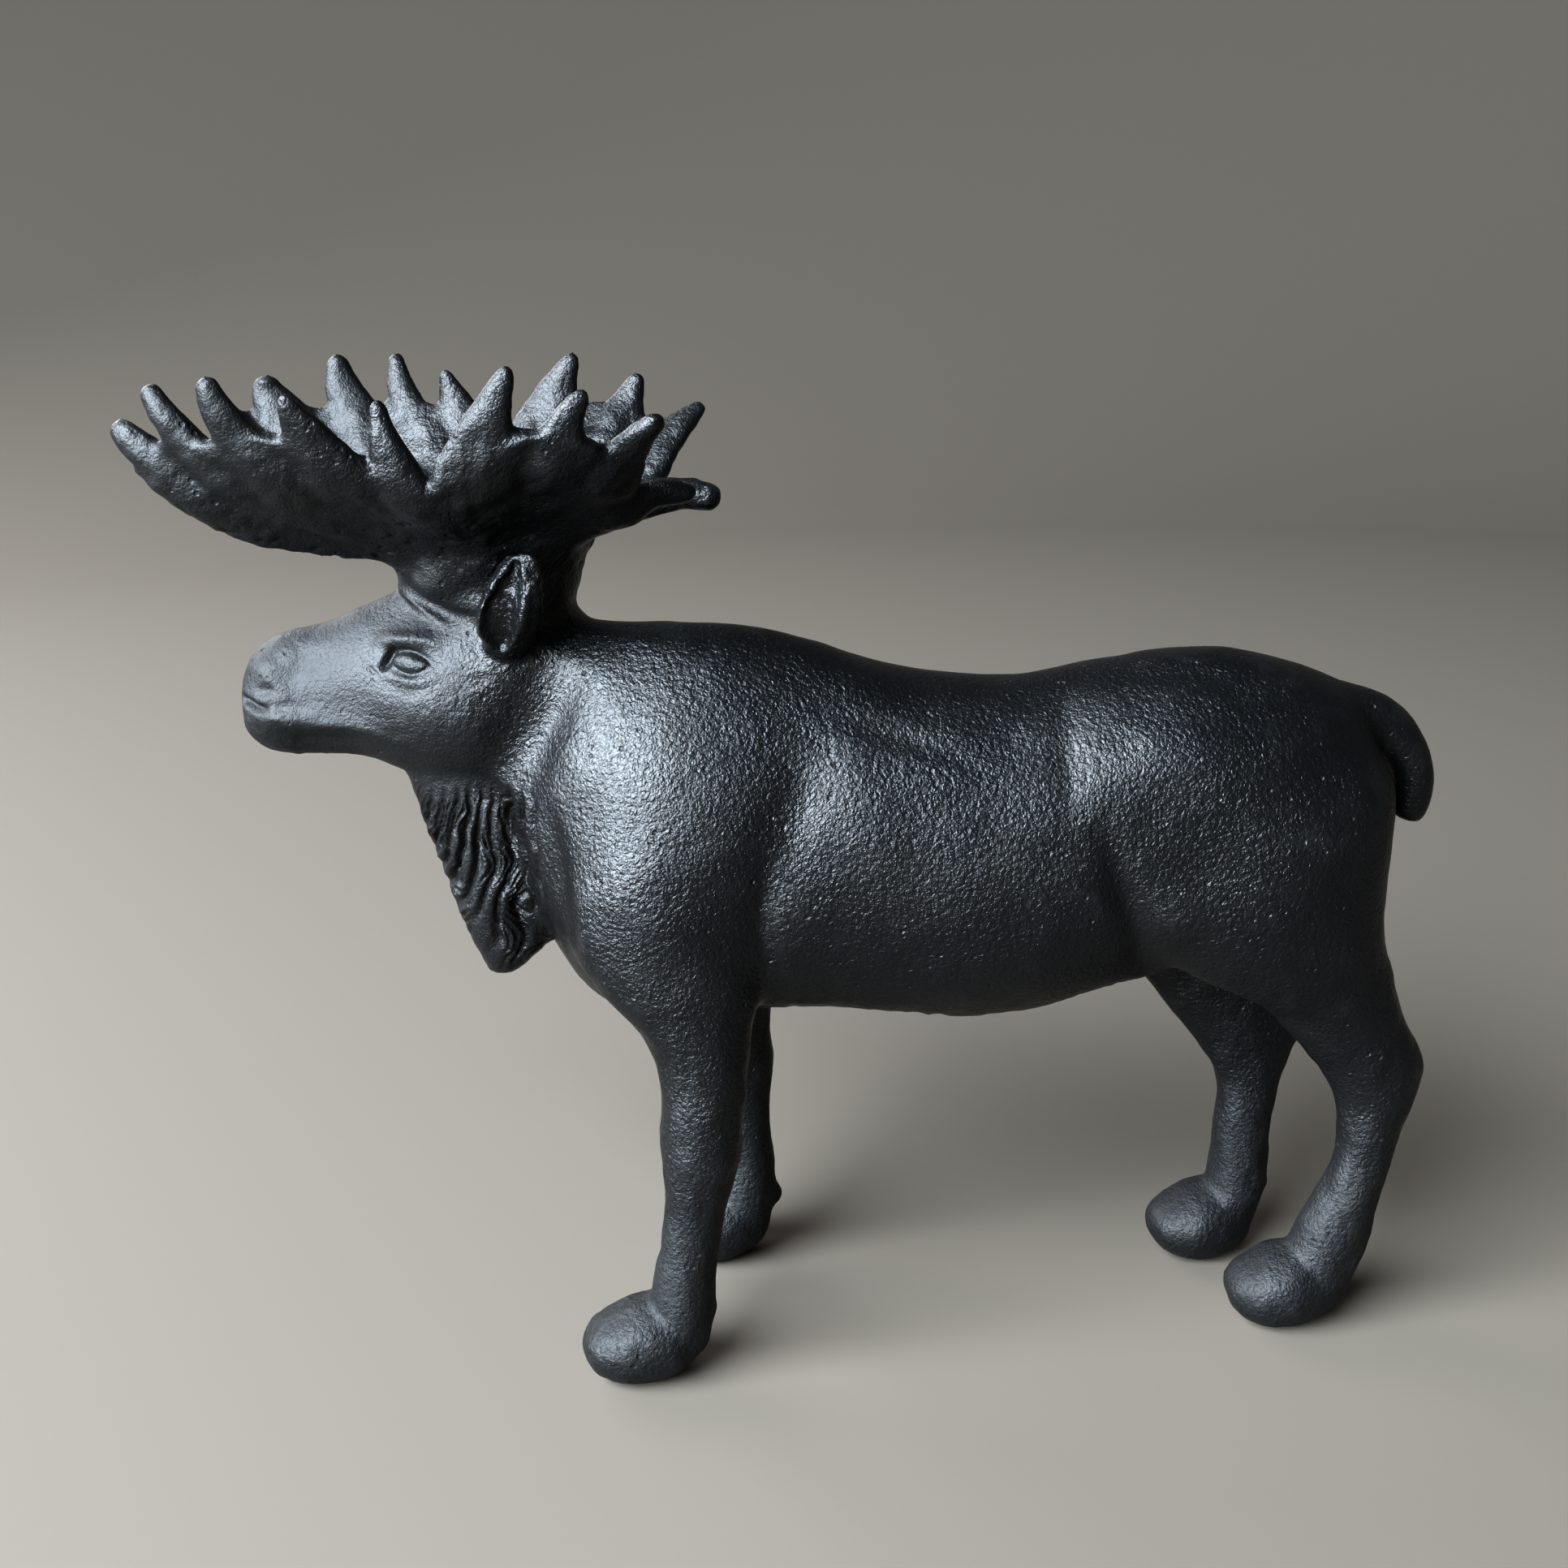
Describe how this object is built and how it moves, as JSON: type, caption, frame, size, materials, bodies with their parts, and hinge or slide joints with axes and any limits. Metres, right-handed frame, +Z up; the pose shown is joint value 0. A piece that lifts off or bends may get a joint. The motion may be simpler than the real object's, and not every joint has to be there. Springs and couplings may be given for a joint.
{
  "type": "moose figurine",
  "caption": "Standing moose figurine of black-painted cast metal with broad palmate antlers, a long muzzle, a hanging dewlap and round hooves cut flat below.",
  "frame": {"origin": "on the ground under the middle of the figure's box", "axes": "+Z up; the head points along -X and the tail along +X; -Y is the figure's left side, which the picture shows, and +Y its right side"},
  "size_m": [0.2484, 0.084, 0.2024],
  "materials": {
    "black_paint": "satin"
  },
  "bodies": {
    "root": {"moose": "black_paint"}
  },
  "joints": []
}
